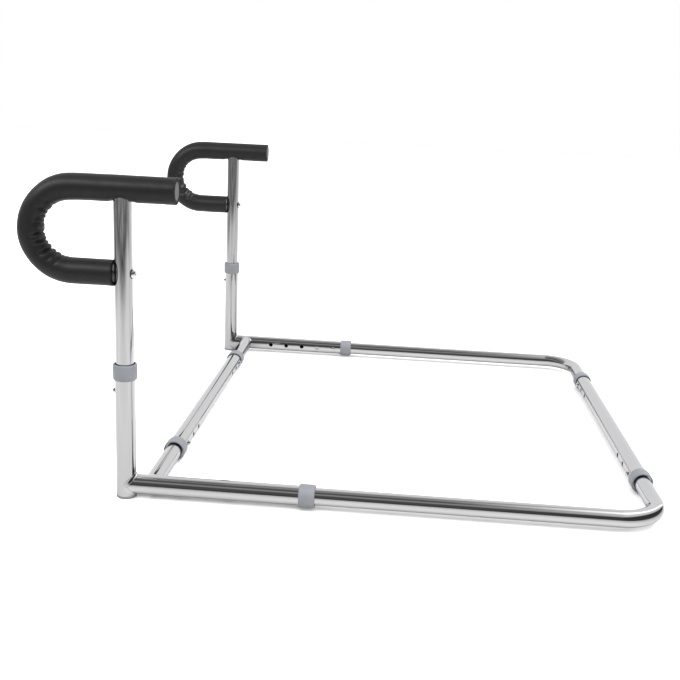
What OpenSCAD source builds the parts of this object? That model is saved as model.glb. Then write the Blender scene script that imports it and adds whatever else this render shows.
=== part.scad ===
// Couch standing aid: a steel floor frame that slides under a couch, with a foam-gripped handle on each side.
// Each telescope is an inner tube in an outer one, held by a sprung button in a row of holes.
// X runs back under the couch from the posts, Y runs across from the sitter's left to right, Z is up.
// The pieces of a side are drawn for the sitter's left, with X counted from the post's axis, and mirrored.

/* [Tubes] */
// Outside diameter of the inner tubes
inner_d = 25.4; // [22:0.1:32]
// Wall of the inner tubes
inner_wall = 1.4; // [1:0.1:2]
// Wall of the outer tubes
outer_wall = 1.3; // [1:0.1:2]
// Play between an inner and an outer tube, on each side
slide_play = 0.3; // [0.2:0.05:0.5]
// Width of a weld bead
weld_w = 1; // [0.6:0.1:1.6]

/* [Floor frame] */
// Distance between the axes of the two posts
post_spacing = 812; // [740:1:900]
// Distance from the posts' axes back to the rear cross
frame_depth = 767; // [690:1:900]
// Distance from the posts' axes back to the front cross
front_cross_x = 36.5; // [36:0.5:60]
// Distance from the posts' axes back to the rail collars
rail_collar_x = 263; // [255:1:300]
// Height of the post collars
post_collar_z = 189; // [183:1:213]
// Bend radius of the rear corners, at the tube's axis
corner_r = 60; // [50:1:75]
// Distance from a side rail's axis to the vent hole in its corner tube
vent_y = 52; // [45:1:70]
// Diameter of the vent hole in each corner tube
vent_d = 5; // [3:0.5:6]
// Distance that the feet reach below the collars
foot_drop = 2.8; // [0:0.1:5]
// Thickness of the foot caps' rims
foot_rim_t = 4.2; // [1.5:0.1:5.2]
// Length of the foot caps' plugs
foot_plug_len = 12; // [8:1:16]

/* [Handles] */
// Height of the upper grip leg's axis
grip_z = 443.5; // [423:0.5:483]
// Bend radius of the U-shaped handle, at the tube's axis
handle_bend_r = 57.5; // [45:0.1:70]
// Distance from the post's axis forward to the centre of the U-bend
handle_bend_x = 70.8; // [50:0.1:100]
// Length of the upper grip leg behind the post's axis
handle_back = 74; // [45:0.1:110]
// Thickness of the foam
foam_wall = 3.9; // [3:0.1:6]
// Room that the foam leaves round the post and its weld
foam_notch = 0.4; // [0.3:0.1:2]
// Thickness of the grip cap's rim
grip_cap_t = 2.5; // [1.5:0.1:4]
// Depth of the grip cap's face behind the foam's end
grip_cap_inset = 0.2; // [0:0.1:4]
// Length of the plugs in the handle's ends
handle_plug_len = 20; // [14:1:30]
// Depth of the lower plug's face behind the tube's end
handle_plug_inset = 1.2; // [0.5:0.1:3]
// Diameter of the handle screw's thread
screw_d = 6; // [4:0.5:8]
// Diameter of the handle screw's head
screw_head_d = 14.5; // [11:0.5:16]
// Height of the handle screw's head
screw_head_h = 5; // [3:0.1:6]

/* [Collars] */
// Wall of a collar
collar_wall = 2.7; // [2:0.1:4]
// Length of a collar
collar_len = 23; // [16:0.5:26]
// Length that a collar reaches past the end of its outer tube
collar_lip = 4; // [2:0.5:6]
// Width of the groove round the outer tube at a collar's edge
collar_groove = 0.7; // [0.4:0.1:1]
// Length of the rounding at a collar's edges
collar_edge_len = 3; // [1.5:0.5:5]

/* [Snap buttons] */
// Distance between neighbouring holes in the posts and side rails
hole_pitch = 35; // [30:0.5:37]
// Distance between neighbouring holes in the cross tubes
cross_pitch = 38; // [30:0.5:40]
// Number of depth settings
depth_settings = 5; // [2:1:5]
// Number of width settings on each side
width_settings = 3; // [2:1:3]
// Number of height settings
height_settings = 3; // [2:1:3]
// Distance from a collar's middle to its button
button_set = 29; // [20:0.5:32]
// Diameter of a button
button_d = 8; // [5:0.1:9]
// Play round a button in its holes
button_play = 0.3; // [0.2:0.05:0.5]
// Height of a button over its outer tube
button_proud = 3.8; // [2:0.1:5]
// Length of an inner tube past its button
tube_tail = 50; // [44:1:55]
// Width of a leaf spring
spring_w = 8; // [6:0.5:10]
// Thickness of a leaf spring
spring_t = 0.8; // [0.5:0.1:1]
// Reach of a leaf spring behind its button
spring_len = 40; // [30:1:46]

/* [Hidden] */
$fn = 64;
edge_steps = 6;
seat_gap = 0.05;        // between two pieces that are pushed together for good
weld_gap = 0.2;         // between two tubes at a weld
end_gap = 0.3;          // between the handle's lower end and the post
button_rim = 1;         // overhang of a button's foot
button_foot_t = 1.2;
button_dome = 2.6;
collar_flat = 0.3;      // thickness of a collar's edge
screw_slot = 1.5;       // width of the cross recess in a screw's head
screw_slot_depth = 1.8;
screw_bite = 14;        // length of thread in the lower plug
travel_margin = 0.5;    // room between a corner's bend and its outer tube at the narrowest setting
plug_wall = 2;

outer_bore = inner_d + 2 * slide_play;
outer_d = outer_bore + 2 * outer_wall;
inner_bore = inner_d - 2 * inner_wall;
collar_d = outer_d + 2 * collar_wall;
foam_d = outer_d + 2 * foam_wall;
hole_d = button_d + 2 * button_play;
weld_d = inner_d + 2 * weld_w;

axis_z = collar_d / 2 + foot_drop;
side_y = -post_spacing / 2;
width_travel = (width_settings - 1) * cross_pitch;
collar_to_end = collar_len / 2 - collar_lip;
cross_collar_y = side_y + corner_r + width_travel + collar_to_end + travel_margin;
cross_button_y = cross_collar_y + button_set;
rail_button_x = rail_collar_x - button_set;
post_button_z = post_collar_z - button_set;
lower_z = grip_z - 2 * handle_bend_r;
lower_end_x = -inner_d / 2 - end_gap;
upper_end_x = handle_back - grip_cap_inset - grip_cap_t;

foot_edge = sqrt(pow(inner_bore / 2, 2) - pow(button_d / 2 + button_rim, 2)) - 2 * seat_gap;
spring_top = foot_edge - button_foot_t;
spring_low = sqrt(pow(inner_bore / 2, 2) - pow(spring_w / 2, 2)) - 2 * seat_gap;
button_tip = outer_d / 2 + button_proud;

front_x = -handle_bend_x - handle_bend_r - foam_d / 2;
back_x = frame_depth + collar_d / 2;
middle_x = (front_x + back_x) / 2;

chrome = [0.82, 0.83, 0.85];
grey_plastic = [0.57, 0.6, 0.63];
black_plastic = [0.1, 0.1, 0.11];
foam_black = [0.17, 0.17, 0.18];
spring_steel = [0.6, 0.6, 0.58];

SIDES = ["left", "right"];
SIDE_PIECES = [
    "post_tube", "foot_cap", "post_collar", "side_rail", "rail_collar", "front_stub", "frame_welds",
    "handle_post", "handle_tube", "handle_weld", "grip", "grip_cap", "handle_plug", "handle_screw",
    "corner_tube", "front_collar", "rear_collar",
    "height_button", "height_spring", "rail_button", "rail_spring",
    "front_button", "front_spring", "rear_button", "rear_spring"
];
NODES = [for (side = SIDES) for (piece = SIDE_PIECES) str(side, "_", piece), "front_sleeve", "rear_sleeve"];
node = "all";

function wanted(name) = node == "all" || node == name;

// Quarter of an ellipse from [a, 0] to [0, b], moved to [x, y]
function quarter(x, y, a, b) =
    [for (i = [0 : edge_steps]) [x + a * cos(90 * i / edge_steps), y + b * sin(90 * i / edge_steps)]];

module along_x() rotate([0, 90, 0]) children();
module along_y() rotate([-90, 0, 0]) children();
module facing_front() rotate([0, -90, 0]) children();

module ring(d, bore) difference() {
    circle(d = d);
    circle(d = bore);
}

module tube(d, bore, len) linear_extrude(len) ring(d, bore);

// A quarter or half turn of tube round Z, from the X axis on
module bend(d, bore, r, angle) rotate_extrude(angle = angle) translate([r, 0]) ring(d, bore);

// A hole from a tube's axis out through one wall
module wall_hole(d) cylinder(d = d, h = outer_d);

module hole_row(count, step) for (i = [0 : count - 1]) translate(i * step) children();

// The bead where a branch along X meets a tube along Z, whose surface the branch's end follows
module weld_bead(through_d, branch_d) difference() {
    intersection() {
        cylinder(d = through_d + 3 * weld_w, h = 2 * through_d, center = true);
        along_x() cylinder(d = branch_d + 2 * weld_w, h = through_d);
    }
    cylinder(d = through_d, h = 3 * through_d, center = true);
    along_x() cylinder(d = branch_d, h = 2 * through_d, center = true);
}

// A collar round the end of an outer tube, whose inner tube leaves along Z. Its middle is at the origin
module collar() color(grey_plastic) {
    edge = collar_wall - collar_groove - collar_flat;
    outer = collar_d / 2 - edge;
    half = collar_len / 2;
    straight = half - collar_edge_len;
    mouth = [for (p = quarter(outer, straight, edge, collar_edge_len)) p];
    rim = [for (i = [len(mouth) - 1 : -1 : 0]) [mouth[i][0], -mouth[i][1]]];
    seat = outer_d / 2 + seat_gap;
    groove = outer_d / 2 + collar_groove;
    rotate_extrude() polygon(concat(
        [[seat, collar_edge_len - half], [groove, collar_edge_len - half], [groove, -half]],
        rim, mouth, [[seat, half]]));
}

// A button whose axis is Z, with the tube's axis at the origin
module button() color(chrome) {
    r = button_d / 2;
    rotate_extrude() polygon(concat(
        [[0, spring_top], [r + button_rim, spring_top], [r + button_rim, foot_edge], [r, foot_edge]],
        quarter(0, button_tip - button_dome, r, button_dome)));
}

// A V-shaped leaf spring under a button that faces Z. Its bend lies along X, behind the button
module leaf_spring() color(spring_steel) {
    front = -button_d / 2 - button_rim;
    knee = -front;
    bend_z = -spring_low + 5 * spring_t;
    rotate([90, 0, 0]) linear_extrude(spring_w, center = true) polygon([
        [front, spring_top], [knee, spring_top], [spring_len, bend_z], [spring_len, -spring_low],
        [front, -spring_low], [front, spring_t - spring_low],
        [spring_len - spring_t, spring_t - spring_low], [spring_len - spring_t, bend_z - spring_t / 2],
        [knee - spring_t / 2, spring_top - spring_t], [front, spring_top - spring_t]]);
}

// The places of a side's buttons, each with the button facing Z and the inner tube's root along X
module at_height_button() translate([0, side_y, post_button_z]) rotate([0, -90, 0]) children();
module at_rail_button() translate([rail_button_x, side_y, axis_z]) rotate([-90, 0, 0]) children();
module at_front_button() translate([front_cross_x, cross_button_y, axis_z])
    multmatrix([[0, 0, 1, 0], [-1, 0, 0, 0], [0, -1, 0, 0], [0, 0, 0, 1]]) children();
module at_rear_button() translate([frame_depth, cross_button_y, axis_z])
    multmatrix([[0, 0, -1, 0], [-1, 0, 0, 0], [0, 1, 0, 0], [0, 0, 0, 1]]) children();

module post_tube() color(chrome) difference() {
    translate([0, side_y, foot_rim_t])
        tube(outer_d, outer_bore, post_collar_z + collar_to_end - foot_rim_t);
    translate([0, side_y, post_button_z])
        hole_row(height_settings, [0, 0, -hole_pitch]) facing_front() wall_hole(hole_d);
}

module foot_cap() color(grey_plastic) translate([0, side_y, 0]) {
    plug = outer_bore / 2 - seat_gap;
    edge = foot_rim_t / 4;
    top = foot_rim_t + foot_plug_len;
    rotate_extrude() polygon([
        [0, 0], [outer_d / 2 - edge, 0], [outer_d / 2, edge], [outer_d / 2, foot_rim_t], [plug, foot_rim_t],
        [plug, top], [plug - plug_wall, top], [plug - plug_wall, foot_rim_t], [0, foot_rim_t]]);
}

module post_collar() translate([0, side_y, post_collar_z]) collar();

module side_rail() color(chrome) difference() {
    translate([0, side_y, axis_z]) along_x() tube(outer_d, outer_bore, rail_collar_x + collar_to_end);
    translate([0, side_y, 0]) cylinder(d = outer_d + 2 * weld_gap, h = 2 * collar_d);
    translate([rail_button_x, side_y, axis_z])
        hole_row(depth_settings, [-hole_pitch, 0, 0]) along_y() wall_hole(hole_d);
}

module rail_collar() translate([rail_collar_x, side_y, axis_z]) along_x() collar();

module front_stub() color(chrome) difference() {
    translate([front_cross_x, side_y, axis_z]) along_y()
        tube(inner_d, inner_bore, cross_button_y + tube_tail - side_y);
    translate([0, side_y, axis_z]) along_x() cylinder(d = outer_d + 2 * weld_gap, h = rail_collar_x);
    translate([front_cross_x, cross_button_y, axis_z]) along_x() wall_hole(hole_d);
}

module frame_welds() color(chrome) {
    translate([0, side_y, axis_z]) weld_bead(outer_d, outer_d);
    translate([front_cross_x, side_y, axis_z]) rotate([90, 0, 90]) weld_bead(outer_d, inner_d);
}

module handle_post() color(chrome) difference() {
    translate([0, side_y, post_button_z - tube_tail])
        tube(inner_d, inner_bore, grip_z - post_button_z + tube_tail);
    translate([-outer_d, side_y, grip_z]) along_x() cylinder(d = outer_d + 2 * weld_gap, h = 2 * outer_d);
    translate([0, side_y, post_button_z]) facing_front() wall_hole(hole_d);
    translate([-outer_d, side_y, lower_z]) along_x() cylinder(d = screw_d + 2 * slide_play, h = 2 * outer_d);
}

// A sleeve along the U-shaped handle, from its lower end at the post to its upper end at x = back
module handle_sleeve(d, bore, back) {
    translate([-handle_bend_x, side_y, grip_z]) along_x() tube(d, bore, back + handle_bend_x);
    translate([-handle_bend_x, side_y, grip_z - handle_bend_r]) rotate([90, -90, 0])
        bend(d, bore, handle_bend_r, 180);
    translate([-handle_bend_x, side_y, lower_z]) along_x() tube(d, bore, lower_end_x + handle_bend_x);
}

module handle_tube() color(chrome) handle_sleeve(outer_d, outer_bore, upper_end_x);

module handle_weld() color(chrome) translate([0, side_y, grip_z]) rotate([0, 90, 0])
    weld_bead(outer_d, inner_d);

module grip() color(foam_black) difference() {
    handle_sleeve(foam_d, outer_d, handle_back);
    translate([0, side_y, grip_z - foam_d]) cylinder(d = weld_d + 2 * foam_notch, h = foam_d);
}

module grip_cap() color(grey_plastic) translate([upper_end_x, side_y, grip_z]) along_x() {
    plug = outer_bore / 2 - seat_gap;
    rotate_extrude() polygon([
        [0, 0], [plug - plug_wall, 0], [plug - plug_wall, -handle_plug_len], [plug, -handle_plug_len],
        [plug, 0], [outer_d / 2, 0], [outer_d / 2, grip_cap_t - collar_flat], [outer_d / 2 - collar_flat, grip_cap_t],
        [0, grip_cap_t]]);
}

module handle_plug() color(black_plastic)
    translate([lower_end_x - handle_plug_inset, side_y, lower_z]) facing_front()
        tube(outer_bore - 2 * seat_gap, screw_d + 2 * seat_gap, handle_plug_len);

module handle_screw() color(chrome) translate([inner_d / 2, side_y, lower_z]) along_x() {
    reach = inner_d + end_gap + handle_plug_inset + screw_bite;
    difference() {
        rotate_extrude() polygon(concat(
            [[0, -reach], [screw_d / 2, -reach], [screw_d / 2, 0], [screw_head_d / 2, 0]],
            quarter(0, screw_head_h / 4, screw_head_d / 2, screw_head_h * 3 / 4)));
        for (turn = [0, 90]) rotate(turn) translate([0, 0, screw_head_h])
            cube([screw_head_d / 2, screw_slot, 2 * screw_slot_depth], center = true);
    }
}

module corner_tube() color(chrome) difference() {
    union() {
        start_x = rail_button_x - tube_tail;
        translate([start_x, side_y, axis_z]) along_x()
            tube(inner_d, inner_bore, frame_depth - corner_r - start_x);
        translate([frame_depth - corner_r, side_y + corner_r, axis_z]) rotate([0, 0, -90])
            bend(inner_d, inner_bore, corner_r, 90);
        translate([frame_depth, side_y + corner_r, axis_z]) along_y()
            tube(inner_d, inner_bore, cross_button_y + tube_tail - side_y - corner_r);
    }
    translate([rail_button_x, side_y, axis_z]) along_y() wall_hole(hole_d);
    translate([frame_depth, cross_button_y, axis_z]) facing_front() wall_hole(hole_d);
    translate([frame_depth, side_y + vent_y, axis_z]) facing_front() wall_hole(vent_d);
}

module front_collar() translate([front_cross_x, cross_collar_y, axis_z]) rotate([90, 0, 0]) collar();
module rear_collar() translate([frame_depth, cross_collar_y, axis_z]) rotate([90, 0, 0]) collar();

// A cross tube whose holes face along X if face is 1, and forward if it is -1
module cross_sleeve(x, face) color(chrome) {
    reach = -cross_collar_y + collar_to_end;
    difference() {
        translate([x, -reach, axis_z]) along_y() tube(outer_d, outer_bore, 2 * reach);
        for (end = [-1, 1]) translate([x, -end * cross_button_y, axis_z])
            hole_row(width_settings, [0, -end * cross_pitch, 0]) rotate([0, 90 * face, 0]) wall_hole(hole_d);
    }
}

module height_button() at_height_button() button();
module height_spring() at_height_button() leaf_spring();
module rail_button() at_rail_button() button();
module rail_spring() at_rail_button() leaf_spring();
module front_button() at_front_button() button();
module front_spring() at_front_button() leaf_spring();
module rear_button() at_rear_button() button();
module rear_spring() at_rear_button() leaf_spring();

module front_sleeve() cross_sleeve(front_cross_x, 1);
module rear_sleeve() cross_sleeve(frame_depth, -1);

module on_side(side) mirror([0, side == "right" ? 1 : 0, 0]) children();

translate([-middle_x, 0, 0]) {
    for (side = SIDES) on_side(side) {
        if (wanted(str(side, "_post_tube"))) post_tube();
        if (wanted(str(side, "_foot_cap"))) foot_cap();
        if (wanted(str(side, "_post_collar"))) post_collar();
        if (wanted(str(side, "_side_rail"))) side_rail();
        if (wanted(str(side, "_rail_collar"))) rail_collar();
        if (wanted(str(side, "_front_stub"))) front_stub();
        if (wanted(str(side, "_frame_welds"))) frame_welds();
        if (wanted(str(side, "_handle_post"))) handle_post();
        if (wanted(str(side, "_handle_tube"))) handle_tube();
        if (wanted(str(side, "_handle_weld"))) handle_weld();
        if (wanted(str(side, "_grip"))) grip();
        if (wanted(str(side, "_grip_cap"))) grip_cap();
        if (wanted(str(side, "_handle_plug"))) handle_plug();
        if (wanted(str(side, "_handle_screw"))) handle_screw();
        if (wanted(str(side, "_corner_tube"))) corner_tube();
        if (wanted(str(side, "_front_collar"))) front_collar();
        if (wanted(str(side, "_rear_collar"))) rear_collar();
        if (wanted(str(side, "_height_button"))) height_button();
        if (wanted(str(side, "_height_spring"))) height_spring();
        if (wanted(str(side, "_rail_button"))) rail_button();
        if (wanted(str(side, "_rail_spring"))) rail_spring();
        if (wanted(str(side, "_front_button"))) front_button();
        if (wanted(str(side, "_front_spring"))) front_spring();
        if (wanted(str(side, "_rear_button"))) rear_button();
        if (wanted(str(side, "_rear_spring"))) rear_spring();
    }
    if (wanted("front_sleeve")) front_sleeve();
    if (wanted("rear_sleeve")) rear_sleeve();
}
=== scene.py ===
# %% [markdown]
# # A couch standing aid in chromed tube and black foam
# The frame of this stand is a set of chromed tubes that slide in one another. Two foam-covered handles
# rise from its front corners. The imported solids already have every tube, collar, button and screw in its
# place, so this lesson dresses them. It gives each one a finish, covers the handles with soft foam, makes
# the welds and the leaf springs again in a finer form, adds the turned rims of the holes, and lights the
# whole as in a small photo studio.

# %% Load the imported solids
import math

import bmesh
import bpy
import numpy as np
from mathutils import Matrix, Vector


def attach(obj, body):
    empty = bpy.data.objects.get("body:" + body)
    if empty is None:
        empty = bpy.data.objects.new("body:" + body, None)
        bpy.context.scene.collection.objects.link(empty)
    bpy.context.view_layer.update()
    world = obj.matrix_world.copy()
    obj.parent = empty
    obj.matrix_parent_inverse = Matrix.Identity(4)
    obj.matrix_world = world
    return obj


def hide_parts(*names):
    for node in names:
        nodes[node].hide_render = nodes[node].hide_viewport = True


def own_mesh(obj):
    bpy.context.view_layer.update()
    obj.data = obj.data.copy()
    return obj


MM = 0.001
SIDES = ("left", "right")
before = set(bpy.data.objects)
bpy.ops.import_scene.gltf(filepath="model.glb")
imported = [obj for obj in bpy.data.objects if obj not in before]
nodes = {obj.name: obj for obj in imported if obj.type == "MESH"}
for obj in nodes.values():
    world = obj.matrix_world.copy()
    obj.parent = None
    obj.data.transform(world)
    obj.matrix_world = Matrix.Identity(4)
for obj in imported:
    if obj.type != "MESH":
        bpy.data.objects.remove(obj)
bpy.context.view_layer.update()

# %% [markdown]
# ## The camera
# The picture was taken from beside the left handle, a little above it and turned slightly. Its lens isn't
# known, so a normal one is assumed. The place and the three turns below come from the edges of the tubes:
# once the lens is chosen, only one place gives all of them. The camera's X axis is its right, Y its up
# and -Z the way it looks.

# %% Camera
CAMERA_PLACE = (0.059104, -1.651013, 0.584961)
CAMERA_TURN, CAMERA_TILT, CAMERA_ROLL = 3.584, -14.88, -2.643
LENS_MM, SENSOR_MM = 50, 36
FARTHEST_SEEN = 50

turn = (Matrix.Rotation(math.radians(CAMERA_TURN), 3, "Z")
        @ Matrix.Rotation(math.radians(CAMERA_TILT), 3, "X")
        @ Matrix.Rotation(math.radians(CAMERA_ROLL), 3, "Y"))
right, ahead, up = turn.col
camera_data = bpy.data.cameras.new("camera")
camera_data.lens = LENS_MM
camera_data.sensor_width = SENSOR_MM
camera_data.clip_end = FARTHEST_SEEN
camera = bpy.data.objects.new("camera", camera_data)
camera.matrix_world = Matrix.Translation(CAMERA_PLACE) @ Matrix((right, up, -ahead)).transposed().to_4x4()
bpy.context.scene.collection.objects.link(camera)
bpy.context.scene.camera = camera
print("camera looks along", [round(x, 3) for x in ahead])

# %% [markdown]
# ## Writing node trees as Python
# A finish is a small tree of nodes. Wiring one by hand hides the idea behind it, so a thin class wraps a
# socket and lets values be added and multiplied as numbers are. `Tree.node` makes any other node: its
# settings are set first, then its sockets get values or links. The geometry trees further on are written
# with the same classes.

# %% Sockets as values
class Value:
    """An output socket that can be used in sums."""

    def __init__(self, tree, socket):
        self.tree, self.socket = tree, socket

    def do(self, operation, *others):
        return self.tree.math(operation, self, *others)

    def __add__(self, other):
        return self.do("ADD", other)

    def __sub__(self, other):
        return self.do("SUBTRACT", other)

    def __rsub__(self, other):
        return self.tree.math("SUBTRACT", other, self)

    def __mul__(self, other):
        return self.do("MULTIPLY", other)

    def __truediv__(self, other):
        return self.do("DIVIDE", other)

    __radd__, __rmul__ = __add__, __mul__


class Tree:
    """A node tree, and the one way to add a node to it."""

    def __init__(self, node_tree):
        self.nodes, self.links = node_tree.nodes, node_tree.links

    def node(self, kind, settings=None, sockets=None, output=0):
        made = self.nodes.new(kind)
        for name, value in (settings or {}).items():
            if name == "stops":
                self.set_stops(made.color_ramp, value)
            else:
                setattr(made, name, value)
        for name, value in (sockets or {}).items():
            self.feed(made.inputs[name], value)
        return Value(self, made.outputs[output])

    def set_stops(self, ramp, stops):
        """Places and shades of a ramp. A shade is one grey or a colour."""
        while len(ramp.elements) < len(stops):
            ramp.elements.new(1)
        for element, (place, shade) in zip(ramp.elements, stops):
            element.position = place
            element.color = (*shade, 1) if isinstance(shade, tuple) else (shade, shade, shade, 1)

    def feed(self, socket, value):
        """Link a value to a socket, or set a constant on it."""
        if isinstance(value, Value):
            self.links.new(value.socket, socket)
        else:
            socket.default_value = value

    def math(self, operation, *values):
        return self.node("ShaderNodeMath", {"operation": operation}, dict(enumerate(values)))

    def split(self, vector):
        """The three numbers of a vector."""
        made = self.node("ShaderNodeSeparateXYZ", None, {0: vector}).socket.node
        return [Value(self, socket) for socket in made.outputs]

    def vector(self, *numbers):
        return self.node("ShaderNodeCombineXYZ", None, dict(enumerate(numbers)))

    def noise(self, place, size, detail=3, roughness=0.5, stretch=(1, 1, 1)):
        """Cloudy values from 0 to 1 in spots about size metres wide, longer where stretch is above 1."""
        scaled = self.node("ShaderNodeMapping", None,
                           {"Vector": place, "Scale": tuple(1 / s for s in stretch)})
        return self.node("ShaderNodeTexNoise", None,
                         {"Vector": scaled, "Scale": 1 / size, "Detail": detail, "Roughness": roughness})

    def ramp(self, value, stops):
        return self.node("ShaderNodeValToRGB", {"stops": stops}, {"Fac": value})

    def between(self, value, low, high, from_low=0.3, from_high=0.7):
        """A number that goes smoothly from low to high while value goes from from_low to from_high."""
        return self.node("ShaderNodeMapRange", {"interpolation_type": "SMOOTHSTEP"},
                         {0: value, 1: from_low, 2: from_high, 3: low, 4: high})

    def mix(self, share, first, second):
        """The first colour where share is 0, the second where it is 1."""
        return self.node("ShaderNodeMix", {"data_type": "RGBA"}, {0: share, 6: first, 7: second}, output=2)

    def bump(self, height, depth, normal=None):
        sockets = {"Height": height, "Distance": depth}
        if normal is not None:
            sockets["Normal"] = normal
        return self.node("ShaderNodeBump", None, sockets)


def new_finish(name, **constants):
    """A material, its tree, its shader, and the place on the piece that its patterns follow."""
    material = bpy.data.materials.new(name)
    material.use_nodes = True
    tree = Tree(material.node_tree)
    shader = material.node_tree.nodes["Principled BSDF"]
    for socket, value in constants.items():
        shader.inputs[socket.replace("_", " ")].default_value = value
    place = tree.node("ShaderNodeTexCoord", output="Object")
    return material, tree, shader, place


# %% [markdown]
# ## Chrome
# Plated steel tube is a mirror, but not a perfect one. Drawing and polishing leave faint waves that run
# along the tube, handling leaves a light haze, and the finest scratches follow the polishing belt. All
# three are so small that they only bend and blur the reflections: the waves are a bump of some hundredths
# of a millimetre, and the haze is a change of roughness. The waves have to run with the tube, so there is
# one chrome for each way a tube can lie.

# %% Chrome for each run of tube
CHROME_COLOUR = (0.52, 0.52, 0.525, 1)
CHROME_EDGE_TINT = (0.85, 0.85, 0.86, 1)
RUNS = {"along": (14, 1, 1), "across": (1, 14, 1), "upright": (1, 1, 14), "round": (2, 2, 1)}
# Sizes and depths of the marks in metres, then the roughness that they give
HAZE_SIZE, WAVE_SIZE, SCRATCH_SIZE = 0.05, 0.012, 0.0011
WAVE_DEPTH, SCRATCH_DEPTH = 6e-5, 1.2e-6
CLEAR, HAZY, SCRATCHED = 0.03, 0.085, 0.03
SCRATCH_STRETCH = 3


def chrome(run):
    material, tree, shader, place = new_finish(
        f"chrome_{run}", Base_Color=CHROME_COLOUR, Metallic=1, Specular_Tint=CHROME_EDGE_TINT)
    stretch = RUNS[run]
    haze = tree.between(tree.noise(place, HAZE_SIZE, detail=5, roughness=0.6), CLEAR, HAZY, 0.4, 0.75)
    long_stretch = tuple(s * SCRATCH_STRETCH for s in stretch)
    scratches = tree.noise(place, SCRATCH_SIZE, detail=2, stretch=long_stretch)
    tree.feed(shader.inputs["Roughness"], haze + tree.between(scratches, 0, SCRATCHED))
    waves = tree.bump(tree.noise(place, WAVE_SIZE, detail=1, stretch=stretch), WAVE_DEPTH)
    tree.feed(shader.inputs["Normal"], tree.bump(scratches, SCRATCH_DEPTH, waves))
    return material


chromes = {run: chrome(run) for run in RUNS}
print("chromes:", sorted(chromes))

# %% [markdown]
# ## Moulded plastic
# The collars and foot caps are moulded in a blue-grey plastic with a finely etched skin, and the grip
# caps in a darker one. The colour is never quite even where the melt met in the mould, and the skin is a
# bump of fine grains that also breaks up the gloss. The plugs inside the handles are the same kind of
# moulding in black.

# %% Plastics
FLOW_SIZE, GRAIN_SIZE, GRAIN_DEPTH = 0.018, 0.00055, 2.5e-5


def moulded(name, light, dark, blur):
    material, tree, shader, place = new_finish(name, Specular_IOR_Level=0.45)
    flow = tree.noise(place, FLOW_SIZE, detail=4, roughness=0.55)
    tree.feed(shader.inputs["Base Color"], tree.ramp(flow, [(0.35, dark), (0.7, light)]))
    grain = tree.noise(place, GRAIN_SIZE, detail=2)
    tree.feed(shader.inputs["Roughness"], tree.between(grain, blur - 0.06, blur + 0.08))
    tree.feed(shader.inputs["Normal"], tree.bump(grain, GRAIN_DEPTH))
    return material


collar_grey = moulded("collar_plastic", (0.128, 0.134, 0.146), (0.114, 0.12, 0.13), 0.46)
cap_grey = moulded("cap_plastic", (0.035, 0.036, 0.037), (0.03, 0.031, 0.032), 0.5)
plug_black = moulded("plug_plastic", (0.012, 0.012, 0.013), (0.008, 0.008, 0.009), 0.4)
print("plastics:", collar_grey.name, cap_grey.name, plug_black.name)

# %% [markdown]
# ## Small steel
# The screws are nickel plated, the snap buttons are turned from bar and polished on the dome, and the
# leaf springs inside the tubes are blue-grey tempered strip. They are small, so the marks on them are
# small as well.

# %% Steels
MARKED_TINT = 0.82
MARKED_BLUR = 0.1
SCORES_PER_MARK, SCORE_DEPTH = 6, 4e-6


def steel(name, colour, blur, mark_size):
    material, tree, shader, place = new_finish(name, Metallic=1)
    marks = tree.noise(place, mark_size, detail=4, roughness=0.6)
    marked = tuple(c * MARKED_TINT for c in colour)
    tree.feed(shader.inputs["Base Color"], tree.ramp(marks, [(0.3, marked), (0.6, colour)]))
    tree.feed(shader.inputs["Roughness"], tree.between(marks, blur + MARKED_BLUR, blur))
    scores = tree.noise(place, mark_size / SCORES_PER_MARK, detail=2)
    tree.feed(shader.inputs["Normal"], tree.bump(scores, SCORE_DEPTH))
    return material


screw_steel = steel("nickel_screw", (0.8, 0.795, 0.78), 0.2, 0.002)
button_steel = steel("polished_button", (0.66, 0.66, 0.665), 0.14, 0.002)
spring_steel = steel("tempered_spring", (0.3, 0.315, 0.35), 0.28, 0.004)
print("steels:", screw_steel.name, button_steel.name, spring_steel.name)

# %% [markdown]
# ## The sizes that the new pieces follow
# The foam, the welds, the rims and the springs sit on solids, so they repeat the sizes that those solids
# were drawn with. X is counted from the posts' axes there, and the part is then moved until the middle of
# its length is at 0. The places of the bend and of the foam's two ends are counted from the posts here as
# well.

# %% Sizes shared with the solids
POST_X = -318.75 * MM
SIDE_Y = {"left": -406 * MM, "right": 406 * MM}
FLOOR_AXIS_Z = 19.8 * MM
OUTER_R, INNER_R = 14.3 * MM, 12.7 * MM
GRIP_Z, BEND_R = 443.5 * MM, 57.5 * MM
BEND_X, GRIP_BACK, LOWER_END = -70.8 * MM, 74 * MM, -13.0 * MM
FOAM_R = 18.2 * MM
FOAM_BORE_R = OUTER_R + 0.05 * MM
POST_HOLE_R = 14.1 * MM
CROSS_X = {"front": POST_X + 36.5 * MM, "rear": POST_X + 767 * MM}
POST_BUTTON_Z, RAIL_BUTTON_X, CROSS_BUTTON_Y = 160 * MM, POST_X + 234 * MM, 233 * MM
HOLE_R, HOLE_PITCH, CROSS_PITCH = 4.3 * MM, 35 * MM, 38 * MM
VENT_R, VENT_Y = 2.5 * MM, 52 * MM
print("posts at X", POST_X, "and Y", SIDE_Y, "crosses at X", CROSS_X)

# %% [markdown]
# ## Foam skin
# The grips are sleeves of closed-cell rubber foam. Their skin is charcoal rather than black, dull, with a
# broad soft shine, and under a lens it is full of fine open pores between a leathery net of raised skin.
# Voronoi cells give the pores and a cloud gives patches where hands have polished the skin. The two ends
# were cut with a knife, so they have no skin and don't shine: the foam is made rougher within half a
# millimetre of each cut.

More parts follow.
